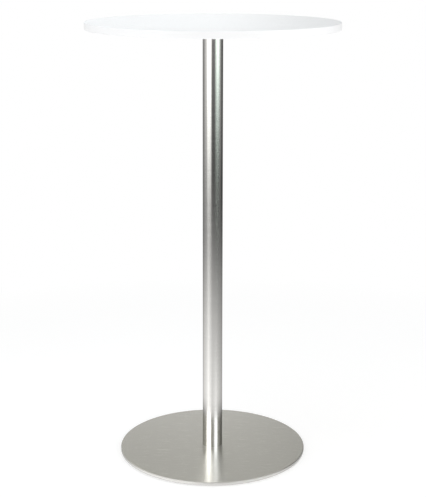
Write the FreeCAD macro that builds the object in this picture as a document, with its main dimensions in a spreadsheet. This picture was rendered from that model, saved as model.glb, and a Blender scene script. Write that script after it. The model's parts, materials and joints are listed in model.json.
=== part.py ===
"""Tall round pub table: a laminated top, a steel spider, a stainless column and a flat weighted base.

Units are millimetres. +Z is up, and the origin is on the floor at the column's axis.
Each piece is its own body, modelled at its own origin and stood in place by its Placement.
The arms of the spider run along X and Y. Bolts and floor glides lie on the diagonals between them.
"""

import FreeCAD, Part
import math
import os
import Sketcher

# name, value: each cell of the sheet is one size that can be set by itself
SIZES = [
    # whole table
    ("overall_height", 1065.0),
    # table top
    ("top_diameter", 600.0),
    ("core_thickness", 15.0),
    ("laminate_thickness", 0.8),
    ("edge_band_thickness", 2.0),
    ("edge_band_radius", 1.0),
    ("edge_band_glue", 0.05),
    # column and its two welded plugs
    ("column_diameter", 48.3),
    ("column_wall", 2.0),
    ("plug_length", 20.0),
    ("plug_clearance", 0.05),
    ("plug_chamfer", 0.8),
    # base: a folded stainless cover over a steel ballast plate
    ("base_diameter", 460.0),
    ("cover_thickness", 1.0),
    ("cover_bend_radius", 1.0),
    ("hem_width", 6.0),
    ("hem_bend_radius", 0.3),
    ("ballast_thickness", 7.0),
    ("ballast_clearance", 0.15),
    # countersunk bolts that hold the column to the base and the spider to the column
    ("bolt_thread_diameter", 8.0),
    ("bolt_head_diameter", 15.8),
    ("bolt_recess", 0.2),
    ("bolt_hole_diameter", 9.0),
    ("bolt_edge_distance", 7.6),
    ("bolt_socket_width", 5.0),
    ("bolt_socket_depth", 2.6),
    ("bolt_tip_chamfer", 0.8),
    ("base_bolt_engagement", 12.2),
    ("spider_bolt_engagement", 10.2),
    ("sink_clearance", 0.1),
    ("thread_clearance", 0.05),
    # spider under the top
    ("spider_thickness", 6.0),
    ("spider_span", 320.0),
    ("spider_arm_width", 40.0),
    ("spider_hub_diameter", 110.0),
    ("spider_tip_radius", 14.0),
    ("spider_root_radius", 16.0),
    # wood screws that hold the top to the spider
    ("screw_tip_distance", 18.0),
    ("screw_spacing", 50.0),
    ("screw_diameter", 4.5),
    ("screw_hole_diameter", 5.5),
    ("screw_head_diameter", 9.4),
    ("screw_head_height", 3.2),
    ("screw_head_chamfer", 1.8),
    ("screw_point_length", 3.0),
    ("screw_cross_width", 1.1),
    ("screw_cross_span", 4.6),
    ("screw_cross_depth", 1.7),
    ("pilot_extra_depth", 0.8),
    ("core_over_pilot", 4.0),
    # floor glides: a nylon pad that swivels on a threaded stud
    ("glide_inset", 35.0),
    ("pad_diameter", 26.0),
    ("pad_chamfer", 0.5),
    ("pad_web", 0.9),
    ("pad_lid", 0.7),
    ("pad_key_hole", 5.5),
    ("pad_recess", 1.3),
    ("pad_seat_gap", 0.3),
    ("pad_side_gap", 1.0),
    ("stud_diameter", 8.0),
    ("stud_flange_diameter", 12.0),
    ("stud_flange_thickness", 1.2),
    ("stud_flange_gap", 0.1),
    ("stud_side_gap", 0.3),
    ("stud_top_gap", 0.4),
    ("stud_tip_chamfer", 0.6),
    ("stud_socket_width", 4.0),
    ("stud_socket_depth", 3.0),
]

ARMS = 4
BOLTS = 4
GLIDES = 4
DIAGONAL = 45  # degrees from the spider's arms to the bolts and glides between them
SAME = 1e-6  # lengths and volumes closer than this count as the same

# sizes that follow from the sheet, as expressions
TOP_RADIUS = "Sizes.top_diameter / 2"
CORE_RADIUS = f"({TOP_RADIUS} - Sizes.edge_band_thickness - Sizes.edge_band_glue)"
TOP_THICKNESS = "(Sizes.core_thickness + 2 * Sizes.laminate_thickness)"
BASE_RADIUS = "Sizes.base_diameter / 2"
BASE_THICKNESS = "(Sizes.ballast_thickness + Sizes.cover_thickness)"
BORE_RADIUS = "(Sizes.column_diameter / 2 - Sizes.column_wall)"
PLUG_RADIUS = f"({BORE_RADIUS} - Sizes.plug_clearance)"

BOLT_RADIUS = "Sizes.bolt_thread_diameter / 2"
BOLT_HEAD_RADIUS = "Sizes.bolt_head_diameter / 2"
BOLT_CIRCLE_RADIUS = f"({PLUG_RADIUS} - Sizes.bolt_edge_distance)"
BOLT_PLACE = f"{BOLT_CIRCLE_RADIUS} * cos({DIAGONAL})"
SINK_DIAMETER = "(Sizes.bolt_head_diameter + 2 * Sizes.bolt_recess + 2 * Sizes.sink_clearance)"

SCREW_RADIUS = "Sizes.screw_diameter / 2"
SCREW_BITE = "(Sizes.core_thickness - Sizes.core_over_pilot - Sizes.pilot_extra_depth)"
OUTER_SCREW = "(Sizes.spider_span / 2 - Sizes.screw_tip_distance)"
SCREW_PLACES = [f"({OUTER_SCREW} - Sizes.screw_spacing)", OUTER_SCREW]

GLIDE_CIRCLE_RADIUS = f"({BASE_RADIUS} - Sizes.glide_inset)"
GLIDE_PLACE = f"{GLIDE_CIRCLE_RADIUS} * cos({DIAGONAL})"
PAD_HEIGHT = (
    "(Sizes.pad_web + Sizes.stud_flange_thickness + 2 * Sizes.stud_flange_gap + Sizes.pad_lid)"
)

# heights above the floor, as expressions
FLANGE_FLOOR = "(Sizes.pad_web + Sizes.stud_flange_gap)"
BASE_FLOOR = f"({PAD_HEIGHT} + Sizes.pad_seat_gap - Sizes.pad_recess)"
BALLAST_TOP = f"({BASE_FLOOR} + Sizes.ballast_thickness)"
COVER_TOP = f"({BASE_FLOOR} + {BASE_THICKNESS})"
TOP_UNDERSIDE = f"(Sizes.overall_height - {TOP_THICKNESS})"
CORE_FLOOR = f"({TOP_UNDERSIDE} + Sizes.laminate_thickness)"
SPIDER_UNDERSIDE = f"({TOP_UNDERSIDE} - Sizes.spider_thickness)"
COLUMN_LENGTH = f"({SPIDER_UNDERSIDE} - {COVER_TOP})"

doc = FreeCAD.newDocument("PubTable")
sheet = doc.addObject("Spreadsheet::Sheet", "Sizes")
for row, (name, value) in enumerate(SIZES, start=1):
    sheet.set(f"A{row}", name)
    sheet.set(f"B{row}", str(value))
    sheet.setAlias(f"B{row}", name)
doc.recompute()

nodes = []


# ---------------------------------------------------------------- sketches


def size(expression):
    """The value that an expression has now."""
    return float(sheet.evalExpression(expression))


def new_body(label, height="0", x="0", y="0"):
    """A body that becomes one node, stood at the place that the expressions give."""
    body = doc.addObject("PartDesign::Body", label)
    body.Label = label
    body.setExpression("Placement.Base.x", x)
    body.setExpression("Placement.Base.y", y)
    body.setExpression("Placement.Base.z", height)
    nodes.append(body)
    return body


def origin_part(body, role):
    return next(part for part in body.Origin.OriginFeatures if part.Role == role)


def new_sketch(body, name, role="XY_Plane", lift="0"):
    """An empty sketch on one of the body's origin planes, moved along the plane's normal."""
    sketch = body.newObject("Sketcher::SketchObject", name)
    sketch.AttachmentSupport = (origin_part(body, role), [""])
    sketch.MapMode = "FlatFace"
    sketch.setExpression("AttachmentOffset.Base.z", lift)
    return sketch


def pin_point(sketch, edge, end, x, y):
    """Holds one point of a sketch at a pair of expressions, measured from the sketch's origin."""
    for kind, axis, expression in (("DistanceX", -2, x), ("DistanceY", -1, y)):
        if expression == "0":
            sketch.addConstraint(Sketcher.Constraint("PointOnObject", edge, end, axis))
        else:
            value = size(expression)
            index = sketch.addConstraint(Sketcher.Constraint(kind, -1, 1, edge, end, value))
            sketch.setExpression(f"Constraints[{index}]", expression)


def add_outline(sketch, corners):
    """A closed outline of straight lines, each corner a pair of expressions."""
    points = [FreeCAD.Vector(size(x), size(y), 0) for x, y in corners]
    count = len(points)
    for index in range(count):
        sketch.addGeometry(Part.LineSegment(points[index], points[(index + 1) % count]), False)
    for index in range(count):
        sketch.addConstraint(Sketcher.Constraint("Coincident", index, 2, (index + 1) % count, 1))
    for index, (x, y) in enumerate(corners):
        pin_point(sketch, index, 1, x, y)


def add_circle(sketch, radius, x="0", y="0"):
    centre = FreeCAD.Vector(size(x), size(y), 0)
    edge = sketch.addGeometry(Part.Circle(centre, FreeCAD.Vector(0, 0, 1), size(radius)), False)
    pin_point(sketch, edge, 3, x, y)
    index = sketch.addConstraint(Sketcher.Constraint("Radius", edge, size(radius)))
    sketch.setExpression(f"Constraints[{index}]", radius)


def hexagon(width, x="0"):
    """The corners of a hexagon of a given width across its flats, centred at (x, 0)."""
    corner_radius = f"{width} / (2 * cos(30))"
    return [
        (f"{x} + {corner_radius} * cos({angle})", f"{corner_radius} * sin({angle})")
        for angle in range(30, 390, 60)
    ]


def cross(arm_width, span, x):
    """The corners of a plus sign centred at (x, 0)."""
    near, far = f"{arm_width} / 2", f"{span} / 2"
    quarter = [(far, near), (near, near), (near, far)]
    turns = [("{0}", "{1}"), ("-({1})", "{0}"), ("-({0})", "-({1})"), ("{1}", "-({0})")]
    return [
        (f"{x} + {across.format(a, b)}", along.format(a, b))
        for across, along in turns
        for a, b in quarter
    ]


# ---------------------------------------------------------------- features


def revolve(body, name, corners, own_axis=False):
    """Turns an outline in the XZ plane about the body's Z axis, or about its own last edge."""
    sketch = new_sketch(body, f"{name}_outline", "XZ_Plane")
    add_outline(sketch, corners)
    feature = body.newObject("PartDesign::Revolution", name)
    feature.Profile = sketch
    if own_axis:
        feature.ReferenceAxis = (sketch, [f"Edge{len(corners)}"])
    else:
        feature.ReferenceAxis = (origin_part(body, "Z_Axis"), [""])
    feature.Angle = 360
    doc.recompute()
    return feature


def pad(body, name, sketch, length):
    feature = body.newObject("PartDesign::Pad", name)
    feature.Profile = sketch
    feature.setExpression("Length", length)
    doc.recompute()
    return feature


def check_cut(feature, before):
    """Stops the build if a cut took nothing away."""
    if feature.Shape.Volume > before - SAME:
        raise ValueError(f"{feature.Name} cuts nothing")


def pocket(body, name, sketch, depth=None):
    """Cuts a sketch upwards into the body, to a depth or right through."""
    before = body.Shape.Volume
    feature = body.newObject("PartDesign::Pocket", name)
    feature.Profile = sketch
    feature.Reversed = True
    if depth is None:
        feature.Type = "ThroughAll"
    else:
        feature.setExpression("Length", depth)
    doc.recompute()
    check_cut(feature, before)
    return feature


def mouthed_hole(body, name, sketch, upwards, diameter, mouth_diameter, mouth_depth=None):
    """A through hole with a wider mouth: a 90 degree sink, or a counterbore of a given depth."""
    before = body.Shape.Volume
    feature = body.newObject("PartDesign::Hole", name)
    feature.Profile = sketch
    doc.recompute()
    feature.ThreadType = "None"
    feature.DepthType = "ThroughAll"
    feature.Reversed = upwards
    feature.HoleCutType = "Countersink" if mouth_depth is None else "Counterbore"
    feature.HoleCutCustomValues = True
    feature.setExpression("Diameter", diameter)
    feature.setExpression("HoleCutDiameter", mouth_diameter)
    if mouth_depth is None:
        feature.HoleCutCountersinkAngle = 90
    else:
        feature.setExpression("HoleCutDepth", mouth_depth)
    doc.recompute()
    check_cut(feature, before)
    return feature


def repeat_around(body, name, features, count):
    """Copies features round the body's Z axis."""
    feature = body.newObject("PartDesign::PolarPattern", name)
    feature.Originals = features
    feature.Axis = (origin_part(body, "Z_Axis"), [""])
    feature.Angle = 360
    feature.Occurrences = count
    body.Tip = feature
    doc.recompute()
    return feature


def dress_edges(body, kind, name, base, edges, amount):
    """A PartDesign Fillet or Chamfer on the named edges of a feature."""
    if not edges:
        raise ValueError(f"{name} has no edges")
    feature = body.newObject(f"PartDesign::{kind}", name)
    feature.Base = (base, edges)
    feature.setExpression("Radius" if kind == "Fillet" else "Size", amount)
    doc.recompute()
    return feature


def rims(feature, radius, height):
    """The circular edges about the Z axis that have this radius and lie at this height."""
    found = []
    for index, edge in enumerate(feature.Shape.Edges, start=1):
        curve = edge.Curve
        if not isinstance(curve, Part.Circle):
            continue
        on_axis = math.hypot(curve.Center.x, curve.Center.y) < SAME
        same_radius = abs(curve.Radius - size(radius)) < SAME
        same_height = abs(curve.Center.z - size(height)) < SAME
        if on_axis and same_radius and same_height:
            found.append(f"Edge{index}")
    return found


def upright_edges(feature, nearest, furthest=math.inf):
    """The straight vertical edges whose distance from the Z axis lies in a range."""
    found = []
    for index, edge in enumerate(feature.Shape.Edges, start=1):
        ends = [vertex.Point for vertex in edge.Vertexes]
        if len(ends) != 2 or math.hypot(ends[0].x - ends[1].x, ends[0].y - ends[1].y) > SAME:
            continue
        if nearest - SAME <= math.hypot(ends[0].x, ends[0].y) <= furthest + SAME:
            found.append(f"Edge{index}")
    return found


# ---------------------------------------------------------------- fasteners


def countersunk_bolts(label, length, height, points_down):
    """Hex-socket countersunk bolts on the bolt circle, as separate solids of one node.

    The flat of each head is at z = 0 of the body, and the shank runs along its +Z.
    """
    body = new_body(label, height)
    centre = BOLT_CIRCLE_RADIUS
    tip = "Sizes.bolt_tip_chamfer"
    bolt = revolve(
        body,
        "bolt",
        [
            (centre, "0"),
            (f"{centre} + {BOLT_HEAD_RADIUS}", "0"),
            (f"{centre} + {BOLT_RADIUS}", f"{BOLT_HEAD_RADIUS} - {BOLT_RADIUS}"),
            (f"{centre} + {BOLT_RADIUS}", f"{length} - {tip}"),
            (f"{centre} + {BOLT_RADIUS} - {tip}", length),
            (centre, length),
        ],
        own_axis=True,
    )
    sketch = new_sketch(body, "socket_outline")
    add_outline(sketch, hexagon("Sizes.bolt_socket_width", centre))
    socket = pocket(body, "socket", sketch, "Sizes.bolt_socket_depth")
    repeat_around(body, "ring_of_bolts", [bolt, socket], BOLTS)
    turned = FreeCAD.Rotation(FreeCAD.Vector(0, 0, 1), DIAGONAL)
    flipped = FreeCAD.Rotation(FreeCAD.Vector(1, 0, 0), 180 if points_down else 0)
    body.Placement.Rotation = turned.multiply(flipped)


def top_screws():
    """Cross-head screws up through the spider's arms, as separate solids of one node.

    The bearing face of each head is at z = 0 of the body, and the point is up.
    """
    body = new_body("top_screws", SPIDER_UNDERSIDE)
    length = f"(Sizes.spider_thickness + Sizes.laminate_thickness + {SCREW_BITE})"
    head_radius = "Sizes.screw_head_diameter / 2"
    head_bottom = "-Sizes.screw_head_height"
    made = []
    for number, centre in enumerate(SCREW_PLACES, start=1):
        screw = revolve(
            body,
            f"screw_{number}",
            [
                (centre, head_bottom),
                (f"{centre} + {head_radius} - Sizes.screw_head_chamfer", head_bottom),
                (f"{centre} + {head_radius}", f"Sizes.screw_head_chamfer {head_bottom}"),
                (f"{centre} + {head_radius}", "0"),
                (f"{centre} + {SCREW_RADIUS}", "0"),
                (f"{centre} + {SCREW_RADIUS}", f"{length} - Sizes.screw_point_length"),
                (centre, length),
            ],
            own_axis=True,
        )
        sketch = new_sketch(body, f"recess_{number}_outline", lift=head_bottom)
        add_outline(sketch, cross("Sizes.screw_cross_width", "Sizes.screw_cross_span", centre))
        recess = pocket(body, f"recess_{number}", sketch, "Sizes.screw_cross_depth")
        made += [screw, recess]
    repeat_around(body, "screws_on_arms", made, ARMS)


# ---------------------------------------------------------------- table top


def disc(label, radius, thickness, height):
    body = new_body(label, height)
    sketch = new_sketch(body, "disc_outline")
    add_circle(sketch, radius)
    pad(body, "disc", sketch, thickness)
    return body


def ring(label, outer, inner, thickness, height):
    body = new_body(label, height)
    sketch = new_sketch(body, "ring_outline")
    add_circle(sketch, outer)
    add_circle(sketch, inner)
    pad(body, "ring", sketch, thickness)
    return body


def screw_holes(body, radius, depth=None):
    """Two holes over each arm of the spider, cut upwards from the underside."""
    sketch = new_sketch(body, "screw_hole_outline")
    for place in SCREW_PLACES:
        add_circle(sketch, radius, place)
    holes = pocket(body, "screw_holes", sketch, depth)
    repeat_around(body, "screw_holes_over_arms", [holes], ARMS)


def table_top():
    """A fibreboard core between a white laminate and its backing, inside an edge band."""
    sheet_thickness = "Sizes.laminate_thickness"
    pilot_radius = f"{SCREW_RADIUS} + Sizes.thread_clearance"
    backing = disc("backing_laminate", CORE_RADIUS, sheet_thickness, TOP_UNDERSIDE)
    screw_holes(backing, pilot_radius)
    core = disc("top_core", CORE_RADIUS, "Sizes.core_thickness", CORE_FLOOR)
    screw_holes(core, pilot_radius, f"{SCREW_BITE} + Sizes.pilot_extra_depth")
    disc("top_laminate", CORE_RADIUS, sheet_thickness, f"{CORE_FLOOR} + Sizes.core_thickness")

    inside = f"{TOP_RADIUS} - Sizes.edge_band_thickness"
    band = ring("edge_band", TOP_RADIUS, inside, TOP_THICKNESS, TOP_UNDERSIDE)
    plain = band.Tip
    corners = rims(plain, TOP_RADIUS, "0") + rims(plain, TOP_RADIUS, TOP_THICKNESS)
    dress_edges(band, "Fillet", "rounded_corners", plain, corners, "Sizes.edge_band_radius")


# ---------------------------------------------------------------- spider


def spider_plate():
    """A four-armed steel plate, sunk for the bolts from above and drilled for the wood screws."""
    thickness = "Sizes.spider_thickness"
    hub_radius = "Sizes.spider_hub_diameter / 2"
    reach = "Sizes.spider_span / 2"
    half_width = "Sizes.spider_arm_width / 2"
    body = disc("spider_plate", hub_radius, thickness, SPIDER_UNDERSIDE)
    sketch = new_sketch(body, "arm_outline")
    add_outline(
        sketch,
        [("0", f"-{half_width}"), (reach, f"-{half_width}"), (reach, half_width), ("0", half_width)],
    )
    arm = pad(body, "arm", sketch, thickness)
    arms = repeat_around(body, "arms", [arm], ARMS)

    corners = upright_edges(arms, size(hub_radius), size(hub_radius))
    roots = dress_edges(body, "Fillet", "arm_roots", arms, corners, "Sizes.spider_root_radius")
    corners = upright_edges(roots, size(reach))
    dress_edges(body, "Fillet", "arm_tips", roots, corners, "Sizes.spider_tip_radius")

    screw_holes(body, "Sizes.screw_hole_diameter / 2")
    sketch = new_sketch(body, "bolt_hole_outline", lift=thickness)
    add_circle(sketch, BOLT_RADIUS, BOLT_PLACE, BOLT_PLACE)
    hole = mouthed_hole(
        body, "bolt_hole", sketch, False, "Sizes.bolt_hole_diameter", SINK_DIAMETER
    )
    repeat_around(body, "bolt_holes", [hole], BOLTS)


# ---------------------------------------------------------------- column


def column_plug(label, height):
    """A steel plug, welded into one end of the tube and tapped for the bolts."""
    length = "Sizes.plug_length"
    body = disc(label, PLUG_RADIUS, length, height)
    plug = body.Tip
    ends = rims(plug, PLUG_RADIUS, "0") + rims(plug, PLUG_RADIUS, length)
    dress_edges(body, "Chamfer", "plug_ends", plug, ends, "Sizes.plug_chamfer")
    sketch = new_sketch(body, "tapped_hole_outline")
    add_circle(sketch, f"{BOLT_RADIUS} + Sizes.thread_clearance", BOLT_PLACE, BOLT_PLACE)
    hole = pocket(body, "tapped_hole", sketch)
    repeat_around(body, "tapped_holes", [hole], BOLTS)


def column():
    column_plug("top_plug", f"{SPIDER_UNDERSIDE} - Sizes.plug_length")
    ring("column_tube", "Sizes.column_diameter / 2", BORE_RADIUS, COLUMN_LENGTH, COVER_TOP)
    column_plug("bottom_plug", COVER_TOP)


# ---------------------------------------------------------------- base


def base_cover():
    """A brushed stainless dish: its rim folds down round the ballast and is hemmed under it."""
    body = new_body("base_cover", BASE_FLOOR)
    wall = "Sizes.cover_thickness"
    inner = f"({BASE_RADIUS} - {wall})"
    hem = f"({BASE_RADIUS} - Sizes.hem_width)"
    ceiling = "Sizes.ballast_thickness"
    dish = revolve(
        body,
        "dish",
        [
            ("0", BASE_THICKNESS),
            (BASE_RADIUS, BASE_THICKNESS),
            (BASE_RADIUS, "0"),
            (hem, "0"),
            (hem, wall),
            (inner, wall),
            (inner, ceiling),
            ("0", ceiling),
        ],
    )
    # name, radius and height of the corner, and the bend there
    bends = [
        ("rim_bend", BASE_RADIUS, BASE_THICKNESS, f"Sizes.cover_bend_radius + {wall}"),
        ("rim_bend_inside", inner, ceiling, "Sizes.cover_bend_radius"),
        ("hem_bend", BASE_RADIUS, "0", f"Sizes.hem_bend_radius + {wall}"),
        ("hem_bend_inside", inner, wall, "Sizes.hem_bend_radius"),
    ]
    shape = dish
    for name, radius, height, bend in bends:
        shape = dress_edges(body, "Fillet", name, shape, rims(shape, radius, height), bend)
    sketch = new_sketch(body, "bolt_hole_outline")
    add_circle(sketch, "Sizes.bolt_hole_diameter / 2", BOLT_PLACE, BOLT_PLACE)
    hole = pocket(body, "bolt_hole", sketch)
    repeat_around(body, "bolt_holes", [hole], BOLTS)


def ballast_plate():
    """The steel disc inside the cover: rebated for the hem, sunk for bolts, tapped for glides."""
    body = new_body("ballast_plate", BASE_FLOOR)
    gap = "Sizes.ballast_clearance"
    thickness = "Sizes.ballast_thickness"
    radius = f"({BASE_RADIUS} - Sizes.cover_thickness - {gap})"
    rebate_radius = f"({BASE_RADIUS} - Sizes.hem_width - {gap})"
    rebate_height = f"(Sizes.cover_thickness + {gap})"
    plate = revolve(
        body,
        "plate",
        [
            ("0", "0"),
            (rebate_radius, "0"),
            (rebate_radius, rebate_height),
            (radius, rebate_height),
            (radius, thickness),
            ("0", thickness),
        ],
    )
    corner = rims(plate, radius, thickness)
    bend = f"Sizes.cover_bend_radius + {gap}"
    dress_edges(body, "Fillet", "top_corner", plate, corner, bend)

    sketch = new_sketch(body, "bolt_hole_outline")
    add_circle(sketch, BOLT_RADIUS, BOLT_PLACE, BOLT_PLACE)
    hole = mouthed_hole(body, "bolt_hole", sketch, True, "Sizes.bolt_hole_diameter", SINK_DIAMETER)
    repeat_around(body, "bolt_holes", [hole], BOLTS)

    tapped = "Sizes.stud_diameter + 2 * Sizes.thread_clearance"
    recess = "Sizes.pad_diameter + 2 * Sizes.pad_side_gap"
    sketch = new_sketch(body, "glide_hole_outline")
    add_circle(sketch, "Sizes.stud_diameter / 2", GLIDE_PLACE, GLIDE_PLACE)
    hole = mouthed_hole(body, "glide_hole", sketch, True, tapped, recess, "Sizes.pad_recess")
    repeat_around(body, "glide_holes", [hole], GLIDES)


# ---------------------------------------------------------------- floor glides


def glide_place(number):
    """The X and Y of one glide, as expressions."""
    angle = DIAGONAL + 360 // GLIDES * (number - 1)
    return f"{GLIDE_CIRCLE_RADIUS} * cos({angle})", f"{GLIDE_CIRCLE_RADIUS} * sin({angle})"


def glide_pad(number):
    """A nylon pad with a closed cavity for the stud's flange and a hole for the key."""
    body = new_body(f"glide_pad_{number}", "0", *glide_place(number))
    key_hole = "Sizes.pad_key_hole / 2"
    neck = "Sizes.stud_diameter / 2 + Sizes.stud_side_gap"
    cavity = "Sizes.stud_flange_diameter / 2 + Sizes.stud_side_gap"
    rim = "Sizes.pad_diameter / 2"
    floor = "Sizes.pad_web"
    ceiling = f"{PAD_HEIGHT} - Sizes.pad_lid"
    plain = revolve(
        body,
        "pad",
        [
            (key_hole, "0"),
            (rim, "0"),
            (rim, PAD_HEIGHT),
            (neck, PAD_HEIGHT),
            (neck, ceiling),
            (cavity, ceiling),
            (cavity, floor),
            (key_hole, floor),
        ],
    )
    corners = rims(plain, rim, "0") + rims(plain, rim, PAD_HEIGHT)
    dress_edges(body, "Chamfer", "pad_corners", plain, corners, "Sizes.pad_chamfer")


def glide_screw(number):
    """The threaded stud that the pad swivels on, turned with a hex key from below."""
    body = new_body(f"glide_screw_{number}", FLANGE_FLOOR, *glide_place(number))
    stud = "Sizes.stud_diameter / 2"
    flange = "Sizes.stud_flange_diameter / 2"
    shoulder = "Sizes.stud_flange_thickness"
    tip = "Sizes.stud_tip_chamfer"
    length = f"({BALLAST_TOP} - Sizes.stud_top_gap - {FLANGE_FLOOR})"
    revolve(
        body,
        "stud",
        [
            ("0", "0"),
            (flange, "0"),
            (flange, shoulder),
            (stud, shoulder),
            (stud, f"{length} - {tip}"),
            (f"{stud} - {tip}", length),
            ("0", length),
        ],
    )
    socket = new_sketch(body, "socket_outline")
    add_outline(socket, hexagon("Sizes.stud_socket_width"))
    pocket(body, "socket", socket, "Sizes.stud_socket_depth")


# ---------------------------------------------------------------- assembly


def build():
    table_top()
    top_screws()
    spider_plate()
    bolt_length = "(Sizes.spider_thickness + Sizes.spider_bolt_engagement - Sizes.bolt_recess)"
    head_height = f"({TOP_UNDERSIDE} - Sizes.bolt_recess)"
    countersunk_bolts("spider_bolts", bolt_length, head_height, points_down=True)
    column()
    bolt_length = f"({BASE_THICKNESS} + Sizes.base_bolt_engagement - Sizes.bolt_recess)"
    head_height = f"({BASE_FLOOR} + Sizes.bolt_recess)"
    countersunk_bolts("base_bolts", bolt_length, head_height, points_down=False)
    base_cover()
    ballast_plate()
    for number in range(1, GLIDES + 1):
        glide_pad(number)
        glide_screw(number)
    doc.recompute()


def check_document():
    """Stops the build if any object failed or any node's shape can't be used."""
    for thing in doc.Objects:
        if "Invalid" in thing.State or "Error" in thing.State:
            raise ValueError(f"{thing.Label} failed to compute: {thing.State}")
    for body in nodes:
        shape = body.Shape
        if shape.isNull() or not shape.isValid() or not shape.Solids:
            raise ValueError(f"{body.Label} has no valid solid")


def export_nodes():
    os.makedirs("parts", exist_ok=True)
    for body in nodes:
        body.Shape.exportStep(f"parts/{body.Label}.step")
        low, high = body.Shape.BoundBox.ZMin, body.Shape.BoundBox.ZMax
        volume = body.Shape.Volume / 1000
        print(
            f"{body.Label}: {len(body.Shape.Solids)} solid(s), {volume:.2f} cm3,"
            f" z {low:.2f} to {high:.2f}"
        )


build()
check_document()
export_nodes()
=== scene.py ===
"""Looks of the tall pub table: brushed stainless column and base, white laminate top.

Everything is in metres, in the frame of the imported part: +Z up, origin on the floor at the column's axis.
"""

import json
import math

import bmesh
import bpy
from mathutils import Matrix, Vector


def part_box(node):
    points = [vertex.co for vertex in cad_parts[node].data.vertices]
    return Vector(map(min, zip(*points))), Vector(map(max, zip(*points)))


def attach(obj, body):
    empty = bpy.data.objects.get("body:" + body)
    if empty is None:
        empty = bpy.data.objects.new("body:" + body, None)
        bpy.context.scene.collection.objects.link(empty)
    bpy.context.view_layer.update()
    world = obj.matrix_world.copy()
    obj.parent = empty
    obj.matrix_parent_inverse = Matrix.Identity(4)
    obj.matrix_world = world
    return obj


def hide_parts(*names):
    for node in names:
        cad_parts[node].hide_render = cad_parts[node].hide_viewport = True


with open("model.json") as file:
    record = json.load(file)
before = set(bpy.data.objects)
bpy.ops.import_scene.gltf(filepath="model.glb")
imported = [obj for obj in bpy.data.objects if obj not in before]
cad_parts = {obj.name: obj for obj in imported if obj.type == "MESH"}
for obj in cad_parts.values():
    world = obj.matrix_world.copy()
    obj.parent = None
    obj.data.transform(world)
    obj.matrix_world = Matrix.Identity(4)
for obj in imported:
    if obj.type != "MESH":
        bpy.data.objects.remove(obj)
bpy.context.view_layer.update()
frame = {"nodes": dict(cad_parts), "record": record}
nodes = frame["nodes"]
slot_colours = {m["slot"]: m["base_color"] for m in frame["record"]["materials"]}
node_slots = {part["node"]: part["material_slot"] for part in frame["record"]["subparts"]}

MM = 0.001
TABLE = "table"  # the body that everything but the glides belongs to


# ---------------------------------------------------------------- node trees


class Nodes:
    """Short ways to add and join the nodes of one material or world."""

    def __init__(self, owner):
        owner.use_nodes = True
        self.tree = owner.node_tree
        self.tree.nodes.clear()

    def add(self, kind, inputs=None, **settings):
        node = self.tree.nodes.new("ShaderNode" + kind)
        for name, value in settings.items():
            setattr(node, name, value)
        for name, value in (inputs or {}).items():
            self.feed(node.inputs[name], value)
        return node

    def feed(self, socket, value):
        """Links an output into the socket, or sets the socket's own value."""
        if isinstance(value, bpy.types.NodeSocket):
            self.tree.links.new(value, socket)
        else:
            socket.default_value = value

    def math(self, operation, first, second=0.0, clamp=False):
        node = self.add("Math", operation=operation, use_clamp=clamp)
        self.feed(node.inputs[0], first)
        self.feed(node.inputs[1], second)
        return node.outputs[0]

    def spread(self, value, low, high, start=0.0, end=1.0):
        """The value, carried from the range start to end into the range low to high."""
        node = self.add("MapRange", clamp=True)
        for name, part in zip(("Value", "From Min", "From Max", "To Min", "To Max"),
                              (value, start, end, low, high)):
            self.feed(node.inputs[name], part)
        return node.outputs["Result"]

    def blend(self, factor, low, high):
        """low where the factor is 0, high where it is 1."""
        node = self.add("Mix", data_type="FLOAT")
        for name, value in (("Factor_Float", factor), ("A_Float", low), ("B_Float", high)):
            self.feed(next(i for i in node.inputs if i.identifier == name), value)
        return node.outputs["Result"]

    def scaled(self, colour, share):
        return self.add("VectorMath", {0: colour, "Scale": share}, operation="SCALE").outputs[0]

    def tint(self, factor, low, high):
        """The colour low where the factor is 0, high where it is 1."""
        node = self.add("Mix", data_type="RGBA")
        for name, value in (("Factor_Float", factor), ("A_Color", rgba(low)), ("B_Color", rgba(high))):
            self.feed(next(i for i in node.inputs if i.identifier == name), value)
        return next(o for o in node.outputs if o.identifier == "Result_Color")

    def ramp(self, factor, points):
        """A number that follows the points, each a place between 0 and 1 and a value."""
        node = self.add("ValToRGB", {"Fac": factor})
        stops = node.color_ramp.elements
        while len(stops) < len(points):
            stops.new(0.5)
        for stop, (place, value) in zip(stops, points):
            stop.position = place
            stop.color = (value, value, value, 1.0)
        return node.outputs["Color"]

    def noise(self, vector, scale, detail=2.0, roughness=0.5):
        """Noise at so many cycles a metre along each axis, a number or three."""
        scales = (scale, scale, scale) if isinstance(scale, (int, float)) else scale
        stretched = self.add("VectorMath", {0: vector, 1: scales}, operation="MULTIPLY")
        node = self.add("TexNoise", {"Vector": stretched.outputs[0], "Scale": 1.0, "Detail": detail,
                                     "Roughness": roughness})
        return node.outputs["Fac"]


def rgba(colour):
    return (*colour[:3], 1.0)


# ---------------------------------------------------------------- studio

CAMERA_DISTANCE = 2.910
CAMERA_HEIGHT = 1.261
CAMERA_SIDE = 0.0007
CAMERA_PITCH = 13.0  # degrees below the horizon
CAMERA_ROLL = 0.08
CAMERA_LENS = 89.35
CAMERA_SHIFT = -0.0573

WHITE = (1.0, 1.0, 1.0)
AMBIENT = 0.6
AMBIENT_COLOUR = (0.97, 0.985, 1.0)


def add_camera():
    data = bpy.data.cameras.new("camera")
    data.lens = CAMERA_LENS
    data.shift_y = CAMERA_SHIFT
    camera = bpy.data.objects.new("camera", data)
    place = Matrix.Translation((CAMERA_SIDE, -CAMERA_DISTANCE, CAMERA_HEIGHT))
    tilt = Matrix.Rotation(math.radians(90 - CAMERA_PITCH), 4, "X")
    roll = Matrix.Rotation(math.radians(CAMERA_ROLL), 4, "Z")
    camera.matrix_world = place @ tilt @ roll
    bpy.context.scene.collection.objects.link(camera)
    bpy.context.scene.camera = camera


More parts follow.
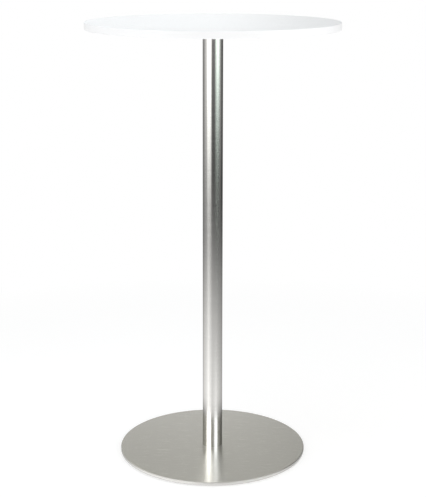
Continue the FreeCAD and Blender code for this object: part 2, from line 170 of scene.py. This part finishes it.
def seen_directly(n):
    """1 for camera, glossy and transmission rays, 0 for the rays that only carry light."""
    path = n.add("LightPath").outputs
    both = n.math("MAXIMUM", path["Is Camera Ray"], path["Is Glossy Ray"])
    return n.math("MAXIMUM", both, path["Is Transmission Ray"])


def add_world():
    """A white background, over a plain soft light."""
    world = bpy.data.worlds.new("studio")
    bpy.context.scene.world = world
    n = Nodes(world)
    ambient = n.add("Background", {"Color": rgba(AMBIENT_COLOUR), "Strength": AMBIENT})
    backdrop = n.add("Background", {"Color": rgba(WHITE), "Strength": 1.0})
    mix = n.add("MixShader", {0: seen_directly(n), 1: ambient.outputs[0], 2: backdrop.outputs[0]})
    n.add("OutputWorld", {"Surface": mix.outputs[0]})


def compass(azimuth, distance, height):
    """A point round the table: azimuth 0 is the camera's side and 90 is +X, in degrees."""
    turn = math.radians(azimuth)
    return Vector((distance * math.sin(turn), -distance * math.cos(turn), height))


COOL = (0.87, 0.925, 1.0)
# azimuth, distance and height of the middle, width and height of the face, radiance, colour
LAMPS = {
    "softbox_left": (-46.0, 1.5, 1.33, 1.85, 1.94, 0.61, WHITE),
    "softbox_right": (58.0, 1.5, 0.98, 1.75, 1.3, 1.1, WHITE),
    "softbox_high": (-95.0, 0.3, 2.0, 0.8, 0.8, 2.65, COOL),
}
LAMP_AIM = {"softbox_high": 1.065}  # the height that a lamp faces at the column, where it isn't its own


def add_lamps():
    """Softboxes for the light on the table. They don't show in the metal: the highlights there are painted
    on the studio's walls.
    """
    for name, (azimuth, distance, height, width, tall, radiance, colour) in LAMPS.items():
        data = bpy.data.lights.new(name, "AREA")
        data.shape = "RECTANGLE"
        data.size, data.size_y = width, tall
        data.energy = radiance * math.pi * width * tall
        data.color = colour
        lamp = bpy.data.objects.new(name, data)
        lamp.location = compass(azimuth, distance, height)
        drop = math.atan2(height - LAMP_AIM.get(name, height), distance)
        lamp.rotation_euler = (math.radians(90) - drop, 0, math.radians(azimuth))
        lamp.visible_camera = False
        lamp.visible_glossy = False
        bpy.context.scene.collection.objects.link(lamp)


def only_in_reflections(obj):
    obj.visible_camera = False
    obj.visible_diffuse = False
    obj.visible_shadow = False


def new_object(name, bm, material=None, smooth=False):
    mesh = bpy.data.meshes.new(name)
    bm.to_mesh(mesh)
    bm.free()
    for polygon in mesh.polygons:
        polygon.use_smooth = smooth
    if material:
        mesh.materials.append(material)
    obj = bpy.data.objects.new(name, mesh)
    bpy.context.scene.collection.objects.link(obj)
    return obj


FLOOR_RADIUS = 9.0
FLOOR_STEPS = 96
FLOOR_LIT_RADIUS = (0.9, 1.6)  # the floor takes light up to the first, and is plain white past the second
FLOOR_COLOUR = (0.555, 0.55, 0.54)
FLOOR_GLOW = 0.58
FLOOR_DROP = 0.0002  # keeps the paper's face off the glides' faces


def floor_material():
    """White paper that keeps the table's shadow. It can't be seen from below."""
    material = bpy.data.materials.new("floor_paper")
    n = Nodes(material)
    place = n.add("TexCoord").outputs["Object"]
    away = n.add("VectorMath", {0: place}, operation="LENGTH").outputs["Value"]
    far = n.spread(away, 0.0, 1.0, *FLOOR_LIT_RADIUS)
    paper = n.add("BsdfDiffuse", {"Color": rgba(FLOOR_COLOUR)})
    glow = n.add("Emission", {"Color": rgba(WHITE), "Strength": FLOOR_GLOW})
    near = n.add("AddShader", {0: paper.outputs[0], 1: glow.outputs[0]})
    plain = n.add("Emission", {"Color": rgba(WHITE), "Strength": 1.0})
    top = n.add("MixShader", {0: far, 1: near.outputs[0], 2: plain.outputs[0]})
    clear = n.add("BsdfTransparent")
    below = n.math("MULTIPLY", n.add("NewGeometry").outputs["Backfacing"],
                   n.add("LightPath").outputs["Is Camera Ray"])
    mix = n.add("MixShader", {0: below, 1: top.outputs[0], 2: clear.outputs[0]})
    n.add("OutputMaterial", {"Surface": mix.outputs[0]})
    return material


def add_floor():
    bm = bmesh.new()
    bmesh.ops.create_circle(bm, cap_ends=True, segments=FLOOR_STEPS, radius=FLOOR_RADIUS)
    bmesh.ops.translate(bm, vec=(0, 0, -FLOOR_DROP), verts=bm.verts)
    new_object("floor", bm, floor_material())


# The room is no lamp and lights nothing: it glows only for reflections, as painted reflections.
ROOM_RADIUS = 5.0
ROOM_HEIGHT = 4.5
PAPER_EDGE = 0.232  # inner edge of the floor that shows in the metal
ROOM_STEPS = 96
ROOM_FLOOR_HEIGHT = 0.002
# Each ring's reach, then azimuths in degrees with their radiance. Reach is the way out along the floor
# and then up the wall, in metres. The tones began as rows of grey levels read off the photo, divided
# by the metal's reflectance and carried back to where it mirrors them, and were then changed by hand
# against renders. report.md says under Looks what that means for the rule on picture data.
# The rings are painted reflections: they give the highlights and dark bands in the metal and the sheen on
# the top.
RINGS = [
    (0.26, [
        (-180, 0.5), (-110, 0.5), (-75, 0.65), (-48, 1.3), (-20, 1.3), (0, 1.12), (43, 1.1),
        (60, 0.7), (90, 0.45), (135, 0.4), (180, 0.5),
    ]),
    (0.36, [
        (-180, 1.15), (-110, 1.2), (-75, 1.38), (-48, 1.78), (-20, 1.34), (0, 1.08), (43, 1.44),
        (60, 1.14), (90, 0.9), (135, 0.8), (180, 1.15),
    ]),
    (0.8, [
        (-180, 0.95), (-110, 1.0), (-75, 1.14), (-48, 1.5), (-20, 1.1), (0, 0.95), (43, 0.91),
        (60, 0.81), (90, 0.67), (135, 0.64), (180, 0.95),
    ]),
    (2.1, [
        (-180, 0.37), (-110, 0.37), (-75, 0.43), (-48, 0.72), (-20, 0.42), (0, 0.26), (43, 0.1),
        (60, 0.14), (90, 0.17), (135, 0.19), (180, 0.37),
    ]),
    (3.1, [
        (-180, 0.3), (-133, 0.33), (-110, 0.29), (-85, 0.37), (-60, 0.19), (-20, 0.04), (20, 0.0),
        (70, 0.02), (94, 0.08), (112, 0.04), (140, 0.05), (180, 0.3),
    ]),
    (5.0, [
        (-180, 0.35), (-133, 0.37), (-112, 0.44), (-93, 0.75), (-60, 0.3), (-20, 0.07), (20, 0.04),
        (70, 0.06), (94, 0.38), (112, 0.18), (136, 0.08), (150, 0.3), (180, 0.35),
    ]),
    (5.6, [
        (-180, 0.38), (-133, 0.4), (-112, 0.5), (-93, 0.95), (-77, 1.3), (-60, 0.4), (-20, 0.3),
        (20, 0.27), (70, 0.1), (94, 0.5), (112, 0.24), (136, 0.1), (150, 0.36), (180, 0.38),
    ]),
    (6.4, [
        (-180, 2.4), (-172, 2.0), (-160, 1.3), (-110, 0.5), (0, 0.4), (100, 0.4), (112, 0.12),
        (150, 0.25), (168, 0.95), (173, 1.45), (177, 2.15), (180, 2.4),
    ]),
    (7.0, [
        (-180, 0.12), (-133, 0.05), (-110, 0.2), (-93, 0.58), (-60, 0.5), (0, 0.45), (60, 0.4),
        (94, 0.3), (112, 0.2), (140, 0.18), (180, 0.12),
    ]),
    (9.0, [
        (-180, 0.5), (-160, 0.5), (-145, 1.5), (-105, 1.5), (-85, 0.6), (90, 0.6), (103, 0.1),
        (152, 0.1), (165, 0.5), (180, 0.5),
    ]),
]
TONE_TOP = 2.5  # radiance that a full ramp stands for
WARM = (1.0, 0.99, 0.82)  # of the upper walls
WARM_FROM = (6.5, 7.0)  # reach at which the warmth starts, and at which it is full
# Glows are painted softbox highlights on the walls, for the metal to mirror.
# Azimuth of the middle, half widths in degrees of the full and of the faded part, colour, then the
# share of it at each reach. They were fitted to the photo as the rings were.
GLOWS = [
    (-43.0, (16.0, 34.0), (7.4, 7.5, 7.4), [
        (2.8, 0.0), (3.6, 0.08), (4.0, 0.13), (4.5, 0.175), (5.25, 0.22), (5.6, 0.4), (5.9, 0.5),
        (6.2, 0.0), (8.3, 0.0), (8.8, 0.35), (9.5, 0.35),
    ]),
    (56.0, (8.0, 38.0), (1.95, 2.25, 2.1), [
        (4.4, 0.0), (4.7, 0.03), (5.25, 0.33), (5.5, 1.1), (5.7, 1.5), (5.9, 1.5), (6.2, 0.0),
    ]),
]
# The same for painted softbox highlights on the walls, which show only in what is mirrored twice, by the
# base and the column.
HIGH_GLOWS = [
    (-45.5, (13.0, 32.0), (8.2, 8.3, 8.2), [
        (5.6, 0.0), (6.7, 1.0), (8.0, 1.0), (8.7, 0.2), (9.5, 0.1),
    ]),
    (41.0, (9.0, 28.0), (4.2, 4.4, 4.7), [
        (5.8, 0.0), (6.8, 1.0), (8.0, 1.0), (8.7, 0.2), (9.5, 0.1),
    ]),
]

TWO_MIRRORINGS = 1.5  # the glossy depth of a ray that was mirrored twice is more than this


def turn_of(degrees):
    """An azimuth as a place between 0 and 1 along a ramp."""
    return (degrees + 180) / 360


def room_material():
    """What metal and gloss mirror of the studio, as painted reflections: a floor that darkens outwards,
    grey walls, softbox highlights.
    """
    material = bpy.data.materials.new("studio_walls")
    material.cycles.emission_sampling = "NONE"
    n = Nodes(material)
    xyz = n.add("SeparateXYZ", {0: n.add("TexCoord").outputs["Object"]}).outputs
    azimuth = n.math("ARCTAN2", xyz["X"], n.math("MULTIPLY", xyz["Y"], -1.0))
    turn = n.spread(azimuth, 0.0, 1.0, -math.pi, math.pi)
    flat = n.add("CombineXYZ", {"X": xyz["X"], "Y": xyz["Y"]})
    away = n.add("VectorMath", {0: flat.outputs[0]}, operation="LENGTH").outputs["Value"]
    reach = n.math("ADD", away, xyz["Z"])
    tone, last = 0.0, 0.0
    for place, tones in RINGS:
        ring = n.ramp(turn, [(turn_of(a), radiance / TONE_TOP) for a, radiance in tones])
        tone = n.blend(n.spread(reach, 0.0, 1.0, last, place), tone, ring) if last else ring
        last = place
    tint = n.tint(n.spread(reach, 0.0, 1.0, *WARM_FROM), WHITE, WARM)
    radiance = n.scaled(tint, n.math("MULTIPLY", tone, TONE_TOP))
    along = n.math("DIVIDE", reach, ROOM_RADIUS + ROOM_HEIGHT)
    # Painted highlights that only rays mirrored twice can see.
    mirrored_twice = n.math("GREATER_THAN", n.add("LightPath").outputs["Glossy Depth"],
                            TWO_MIRRORINGS)
    for glows, seen in ((GLOWS, 1.0), (HIGH_GLOWS, mirrored_twice)):
        for middle, (full, faded), colour, shares in glows:
            aside = n.math("ABSOLUTE", n.math("SUBTRACT", azimuth, math.radians(middle)))
            across = n.spread(aside, 1.0, 0.0, math.radians(full), math.radians(faded))
            share = n.ramp(along, [(r / (ROOM_RADIUS + ROOM_HEIGHT), part) for r, part in shares])
            glow = n.scaled(colour, n.math("MULTIPLY", n.math("MULTIPLY", across, share), seen))
            radiance = n.add("VectorMath", {0: radiance, 1: glow}, operation="ADD").outputs[0]
    light = n.add("Emission", {"Color": radiance, "Strength": 1.0})
    n.add("OutputMaterial", {"Surface": light.outputs[0]})
    return material


def add_room():
    """A wall round the table with a floor ring inside it, glowing with painted reflections and hidden from
    camera, diffuse light and shadows.
    """
    bm = bmesh.new()
    rings = [(PAPER_EDGE, ROOM_FLOOR_HEIGHT), (ROOM_RADIUS, ROOM_FLOOR_HEIGHT),
             (ROOM_RADIUS, ROOM_HEIGHT)]
    loops = []
    for radius, height in rings:
        loops.append([bm.verts.new(compass(360 * step / ROOM_STEPS, radius, height))
                      for step in range(ROOM_STEPS)])
    for low, high in zip(loops, loops[1:]):
        for step in range(ROOM_STEPS):
            after = (step + 1) % ROOM_STEPS
            bm.faces.new((low[step], low[after], high[after], high[step]))
    room = new_object("studio_walls", bm, room_material())
    only_in_reflections(room)


# ---------------------------------------------------------------- finishes

NOISE_SPREAD = (0.3, 0.7)  # most values of a noise lie between these
BAND_SHARE = 0.12  # cycles of the soft bands for each of the brushed lines
METAL_SPREAD = 0.12  # how far the lines carry the roughness of metal up and down
PLASTIC_SPREAD = 0.15  # the same for the pebbles of plastic
CLOUD_SHARE = 0.01  # cycles of the clouds for each of the pebbles


def round_size(node):
    """The radius of a round CAD node, and the heights of its underside and top."""
    low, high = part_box(node)
    return high.x, low.z, high.z


def unbent(n, place, node):
    """The place on a round node's sheet before its rim was bent down.

    The grain then runs on over the bend.
    """
    radius, _, top = round_size(node)
    xyz = n.add("SeparateXYZ", {0: place}).outputs
    drop = n.math("SUBTRACT", top, xyz["Z"])
    growth = n.math("ADD", n.math("DIVIDE", drop, radius), 1.0)
    flat = n.add("CombineXYZ", {"X": xyz["X"], "Y": xyz["Y"]})
    return n.scaled(flat.outputs[0], growth)


def metal(slot, roughness, grain, anisotropy=0.0, rotation=0.0, bump=0.0, tone=0.04,
          tangent=None, haze=None, edge=1.0, hairlines=0.0, sheet=None):
    """Bare metal with brushed lines: grain is their cycles a metre along X, Y and Z.

    Tone and hairlines are how far the bands and the lines carry the colour up and down. Edge is the
    brightness at grazing angles. Haze is the share and roughness of a second, softer reflection.
    Sheet is a round node that is bent down at its rim.
    """
    material = bpy.data.materials.new(slot)
    n = Nodes(material)
    place = n.add("TexCoord").outputs["Object"]
    if sheet:
        place = unbent(n, place, sheet)
    lines = n.noise(place, grain, detail=3.0, roughness=0.65)
    bands = n.noise(place, [g * BAND_SHARE for g in grain], detail=2.0)
    shade = n.spread(bands, 1 - tone, 1 + tone, *NOISE_SPREAD)
    if hairlines:
        streaks = n.spread(lines, 1 - hairlines, 1 + hairlines, *NOISE_SPREAD)
        shade = n.math("MULTIPLY", shade, streaks)
    colour = n.scaled(slot_colours[slot][:3], shade)
    shiny = n.add("BsdfPrincipled", {
        "Base Color": colour,
        "Metallic": 1.0,
        "Roughness": n.spread(lines, roughness * (1 - METAL_SPREAD), roughness * (1 + METAL_SPREAD),
                              *NOISE_SPREAD),
        "Anisotropic": anisotropy,
        "Anisotropic Rotation": rotation,
        "Specular Tint": rgba([edge] * 3),
    })
    if tangent:
        around = n.add("Tangent", direction_type="RADIAL", axis=tangent)
        n.feed(shiny.inputs["Tangent"], around.outputs[0])
    if bump:
        relief = n.add("Bump", {"Height": lines, "Strength": 1.0, "Distance": bump})
        n.feed(shiny.inputs["Normal"], relief.outputs[0])
    surface = shiny
    if haze:
        soft = n.add("BsdfPrincipled", {"Base Color": colour, "Metallic": 1.0, "Roughness": haze[1]})
        surface = n.add("MixShader", {0: haze[0], 1: shiny.outputs[0], 2: soft.outputs[0]})
    n.add("OutputMaterial", {"Surface": surface.outputs[0]})
    return material


def plastic(slot, roughness, grain, bump, tone=0.01, specular=0.5):
    """Plastic, laminate or paint: a fine pebbled surface with faint cloudiness."""
    material = bpy.data.materials.new(slot)
    n = Nodes(material)
    place = n.add("TexCoord").outputs["Object"]
    pebbles = n.noise(place, grain, detail=4.0, roughness=0.6)
    clouds = n.noise(place, grain * CLOUD_SHARE, detail=2.0)
    shade = n.spread(clouds, 1 - tone, 1 + tone, *NOISE_SPREAD)
    colour = n.scaled(slot_colours[slot][:3], shade)
    relief = n.add("Bump", {"Height": pebbles, "Strength": 1.0, "Distance": bump})
    surface = n.add("BsdfPrincipled", {
        "Base Color": colour,
        "Roughness": n.spread(pebbles, roughness * (1 - PLASTIC_SPREAD),
                              roughness * (1 + PLASTIC_SPREAD), *NOISE_SPREAD),
        "Specular IOR Level": specular,
        "Normal": relief.outputs[0],
    })
    n.add("OutputMaterial", {"Surface": surface.outputs[0]})
    return material


def make_finishes():
    return {
        "column_steel": metal("column_steel", 0.16, (25, 25, 2600), 0.75, 0.25, 5e-7, tone=0.012, edge=0.5,
                              hairlines=0.08),
        "base_steel": metal("base_steel", 0.25, (20, 2600, 900), 0.55, 0.0, 5e-7, tone=0.012, tangent="X",
                            haze=(0.5, 0.4), hairlines=0.08, sheet="base_cover"),
        "bolt_steel": metal("bolt_steel", 0.38, (900, 900, 900), bump=4e-6),
        "plug_steel": metal("plug_steel", 0.5, (700, 700, 700), bump=8e-6),
        "screw_zinc": metal("screw_zinc", 0.33, (1200, 1200, 1200), bump=3e-6, tone=0.08),
        "glide_zinc": metal("glide_zinc", 0.33, (1200, 1200, 1200), bump=3e-6, tone=0.08),
        "top_white": plastic("top_white", 0.3, 900.0, 6e-6),
        "edge_white": plastic("edge_white", 0.42, 700.0, 4e-6),
        "backing_white": plastic("backing_white", 0.6, 500.0, 1e-5, tone=0.02),
        "core_board": plastic("core_board", 0.9, 600.0, 5e-5, tone=0.2),
        "spider_black": plastic("spider_black", 0.5, 700.0, 3e-5, tone=0.1),
        "ballast_steel": plastic("ballast_steel", 0.6, 600.0, 2e-5, tone=0.1),
        "glide_nylon": plastic("glide_nylon", 0.5, 900.0, 8e-6, tone=0.05),
    }


def dress_frame(finishes):
    for name, node in nodes.items():
        for slot in node.material_slots:
            slot.material = finishes[node_slots[name]]


# ---------------------------------------------------------------- turned pieces

TURN_STEPS = 240  # points round a circle
BEND_STEPS = 8  # faces across a rounded corner
SHARP = math.radians(40)

BAND_THICKNESS = 2.0 * MM
BAND_ARRIS = 1.0 * MM
COVER_THICKNESS = 1.0 * MM
COVER_BEND = 2.0 * MM
COVER_HEM = 6.0 * MM
COVER_HEM_BEND = 1.3 * MM
BOLT_CIRCLE_RADIUS = 14.5 * MM
BOLT_HOLE_RADIUS = 4.5 * MM
BOLT_HOLE_STEPS = 48
BOLT_CUTTER_DEPTH = 4 * COVER_THICKNESS
EVEN_WEIGHT = 100  # the most that the size of a face counts in its shading


def bend(radius, height, size, start, end):
    """Points of an arc about (radius, height), from one angle to another in degrees."""
    points = []
    for step in range(BEND_STEPS + 1):
        turn = math.radians(start + (end - start) * step / BEND_STEPS)
        points.append((radius + size * math.cos(turn), height + size * math.sin(turn)))
    return points


def lathe(outline, capped=False):
    """An outline of radius and height, turned round the Z axis.

    It is closed to a ring, or where capped, open and filled in at both of its ends.
    """
    bm = bmesh.new()
    loops = []
    for radius, height in outline:
        loops.append([bm.verts.new(compass(360 * step / TURN_STEPS, radius, height))
                      for step in range(TURN_STEPS)])
    pairs = list(zip(loops, loops[1:]))
    if capped:
        bm.faces.new(loops[0])
        bm.faces.new(loops[-1])
    else:
        pairs.append((loops[-1], loops[0]))
    for first, second in pairs:
        for step in range(TURN_STEPS):
            after = (step + 1) % TURN_STEPS
            bm.faces.new((first[step], first[after], second[after], second[step]))
    bmesh.ops.recalc_face_normals(bm, faces=bm.faces)
    return bm


def finish_turned(piece, node):
    """Crisp corners and even shading, and the place of the node that the piece stands for."""
    piece.data.set_sharp_from_angle(angle=SHARP)
    even = piece.modifiers.new("even_shading", "WEIGHTED_NORMAL")
    even.weight = EVEN_WEIGHT
    even.keep_sharp = True
    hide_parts(node)
    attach(piece, TABLE)


def add_edge_band(finishes):
    """The white edging, rounded along both of its outer corners."""
    radius, low, high = round_size("edge_band")
    inside = radius - BAND_THICKNESS
    turned = radius - BAND_ARRIS
    outline = [(inside, high)]
    outline += bend(turned, high - BAND_ARRIS, BAND_ARRIS, 90, 0)
    outline += bend(turned, low + BAND_ARRIS, BAND_ARRIS, 0, -90)
    outline += [(inside, low)]
    piece = new_object("edge_banding", lathe(outline), finishes["edge_white"], smooth=True)
    finish_turned(piece, "edge_band")


def cut_bolt_holes(piece, height):
    """Four holes on the diagonals, where the bolts of the column pass."""
    bm = bmesh.new()
    for corner in range(4):
        place = compass(45 + 90 * corner, BOLT_CIRCLE_RADIUS, height)
        bmesh.ops.create_cone(bm, cap_ends=True, segments=BOLT_HOLE_STEPS, radius1=BOLT_HOLE_RADIUS,
                              radius2=BOLT_HOLE_RADIUS, depth=BOLT_CUTTER_DEPTH,
                              matrix=Matrix.Translation(place))
    cutter = new_object("hole_cutter", bm)
    cut = piece.modifiers.new("bolt_holes", "BOOLEAN")
    cut.operation = "DIFFERENCE"
    cut.solver = "EXACT"
    cut.object = cutter
    bpy.context.view_layer.update()
    shaped = piece.evaluated_get(bpy.context.evaluated_depsgraph_get())
    plain, piece.data = piece.data, bpy.data.meshes.new_from_object(shaped)
    piece.modifiers.clear()
    bpy.data.meshes.remove(plain)
    bpy.data.objects.remove(cutter)


def add_base_cover(finishes):
    """The stainless cover: bent down round the ballast plate and hemmed under it."""
    radius, low, high = round_size("base_cover")
    wall = COVER_THICKNESS
    outline = bend(radius - COVER_BEND, high - COVER_BEND, COVER_BEND, 90, 0)
    outline += bend(radius - COVER_HEM_BEND, low + COVER_HEM_BEND, COVER_HEM_BEND, 0, -90)
    outline += [(radius - COVER_HEM, low), (radius - COVER_HEM, low + wall)]
    outline += bend(radius - COVER_HEM_BEND, low + COVER_HEM_BEND, COVER_HEM_BEND - wall, -90, 0)
    outline += bend(radius - COVER_BEND, high - COVER_BEND, COVER_BEND - wall, 0, 90)
    piece = new_object("base_shell", lathe(outline, capped=True), finishes["base_steel"], smooth=True)
    cut_bolt_holes(piece, high)
    finish_turned(piece, "base_cover")


# ---------------------------------------------------------------- scene

scene = bpy.context.scene
scene.view_settings.view_transform = "Standard"
add_camera()
add_world()
add_lamps()
add_floor()
add_room()
finishes = make_finishes()
dress_frame(finishes)
add_edge_band(finishes)
add_base_cover(finishes)
